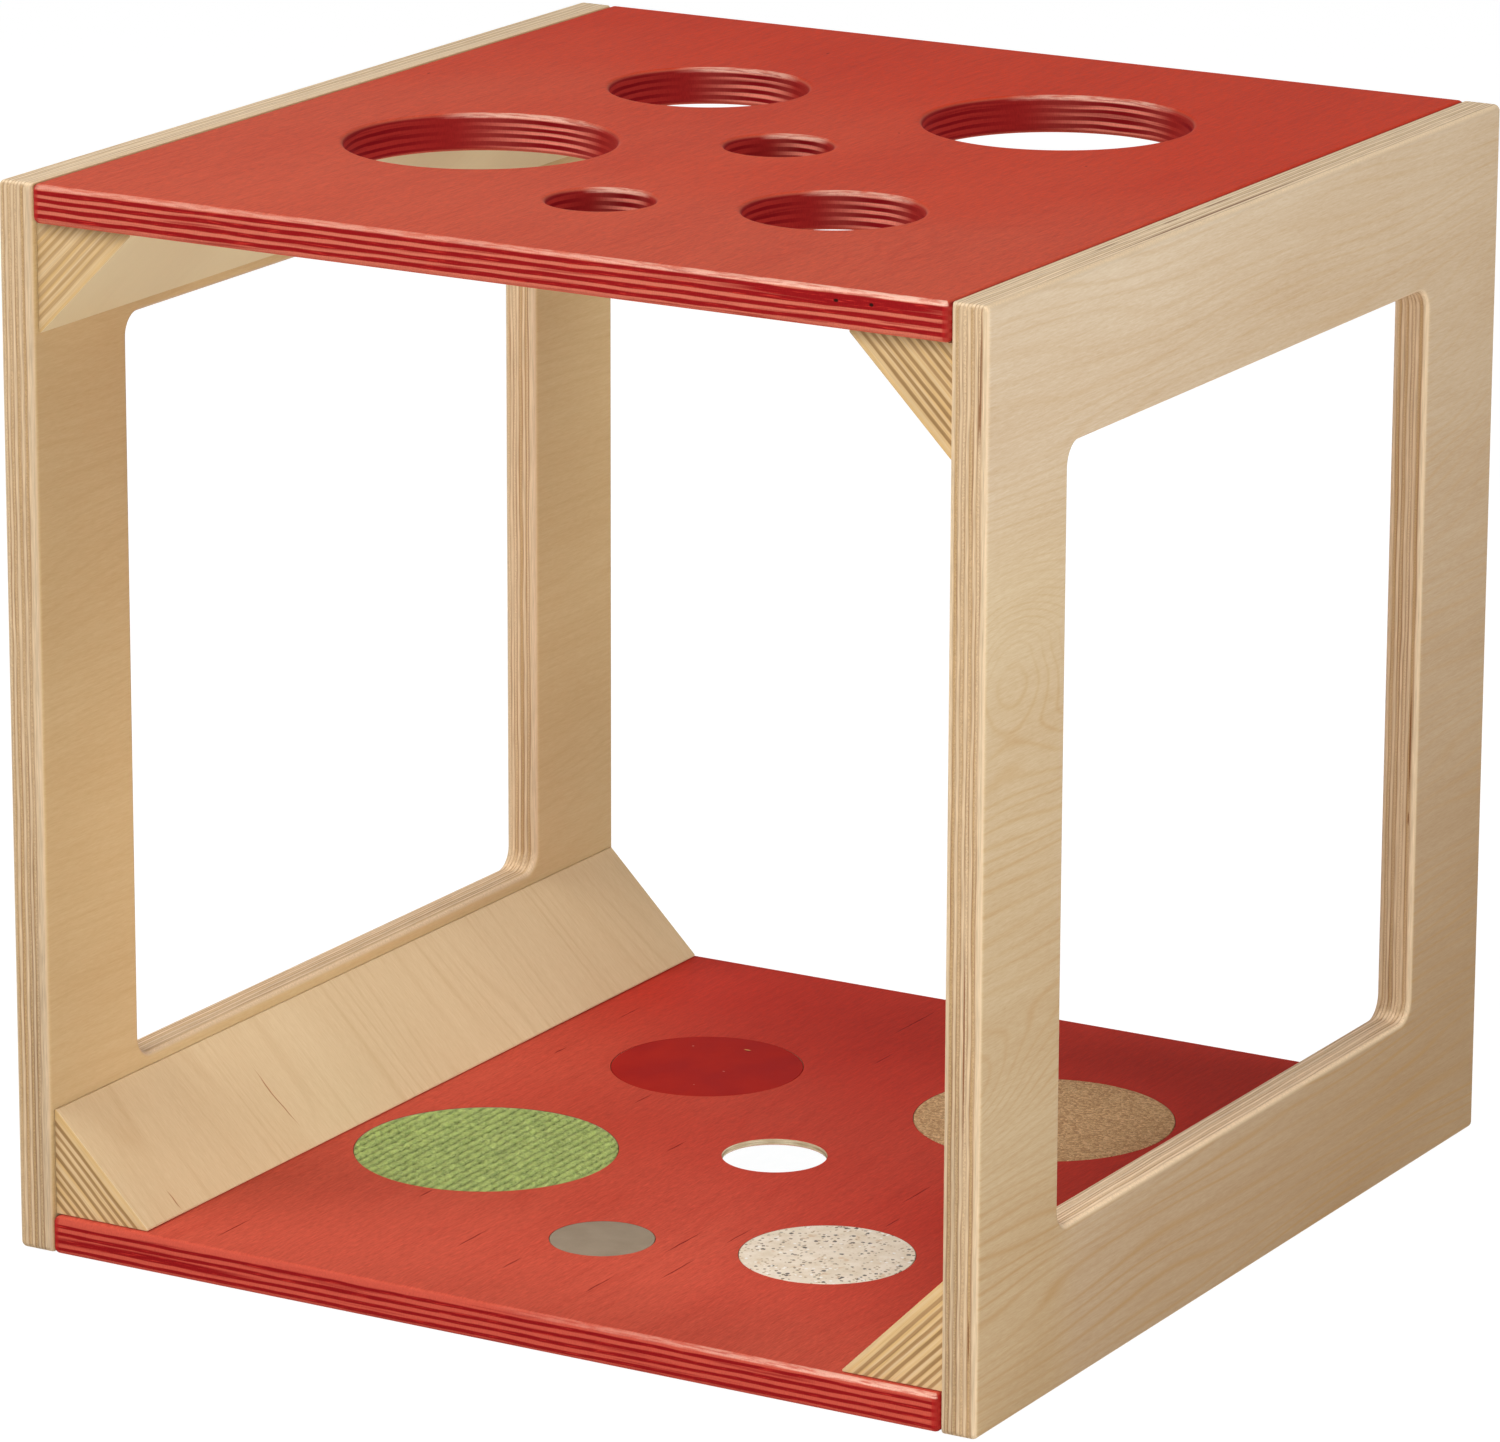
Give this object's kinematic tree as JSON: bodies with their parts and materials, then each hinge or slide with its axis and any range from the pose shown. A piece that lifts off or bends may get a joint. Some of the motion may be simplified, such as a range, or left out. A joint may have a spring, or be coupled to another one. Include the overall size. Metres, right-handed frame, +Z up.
{
  "type": "sensory crawling cube",
  "caption": "Open play cube: plywood side frames with windows, a red top with round holes, and a red floor with round discs of different feel below them.",
  "frame": {"origin": "on the floor under the middle of the cube", "axes": "+Z up, +X out of the right side frame, +Y towards the open back, so the open front faces -Y"},
  "size_m": [0.5, 0.5, 0.5],
  "materials": {
    "birch_plywood": "satin",
    "rail_plywood": "satin",
    "red_stained_plywood": "satin",
    "beech_dowel": "matte",
    "green_carpet": "matte",
    "cork": "matte",
    "dark_red_rubber": "matte",
    "speckled_stone": "matte",
    "mirror": "gloss",
    "grey_rubber": "matte"
  },
  "bodies": {
    "root": {"left_side_frame": "birch_plywood", "right_side_frame": "birch_plywood", "top_panel": "red_stained_plywood", "bottom_panel": "red_stained_plywood", "top_left_rail": "rail_plywood", "top_right_rail": "rail_plywood", "bottom_left_rail": "rail_plywood", "bottom_right_rail": "rail_plywood", "green_carpet_disc": "green_carpet", "cork_disc": "cork", "dark_red_rubber_disc": "dark_red_rubber", "speckled_stone_disc": "speckled_stone", "mirror_disc": "mirror", "grey_rubber_disc": "grey_rubber", "bottom_left_end_dowel_front": "beech_dowel", "bottom_left_end_dowel_middle": "beech_dowel", "bottom_left_end_dowel_back": "beech_dowel", "bottom_right_end_dowel_front": "beech_dowel", "bottom_right_end_dowel_middle": "beech_dowel", "bottom_right_end_dowel_back": "beech_dowel", "top_left_end_dowel_front": "beech_dowel", "top_left_end_dowel_middle": "beech_dowel", "top_left_end_dowel_back": "beech_dowel", "top_right_end_dowel_front": "beech_dowel", "top_right_end_dowel_middle": "beech_dowel", "top_right_end_dowel_back": "beech_dowel", "bottom_left_rail_side_dowel_front": "beech_dowel", "bottom_left_rail_side_dowel_back": "beech_dowel", "bottom_right_rail_side_dowel_front": "beech_dowel", "bottom_right_rail_side_dowel_back": "beech_dowel", "top_left_rail_side_dowel_front": "beech_dowel", "top_left_rail_side_dowel_back": "beech_dowel", "top_right_rail_side_dowel_front": "beech_dowel", "top_right_rail_side_dowel_back": "beech_dowel", "bottom_left_rail_face_dowel_front": "beech_dowel", "bottom_left_rail_face_dowel_back": "beech_dowel", "bottom_right_rail_face_dowel_front": "beech_dowel", "bottom_right_rail_face_dowel_back": "beech_dowel", "top_left_rail_face_dowel_front": "beech_dowel", "top_left_rail_face_dowel_back": "beech_dowel", "top_right_rail_face_dowel_front": "beech_dowel", "top_right_rail_face_dowel_back": "beech_dowel"}
  },
  "joints": []
}
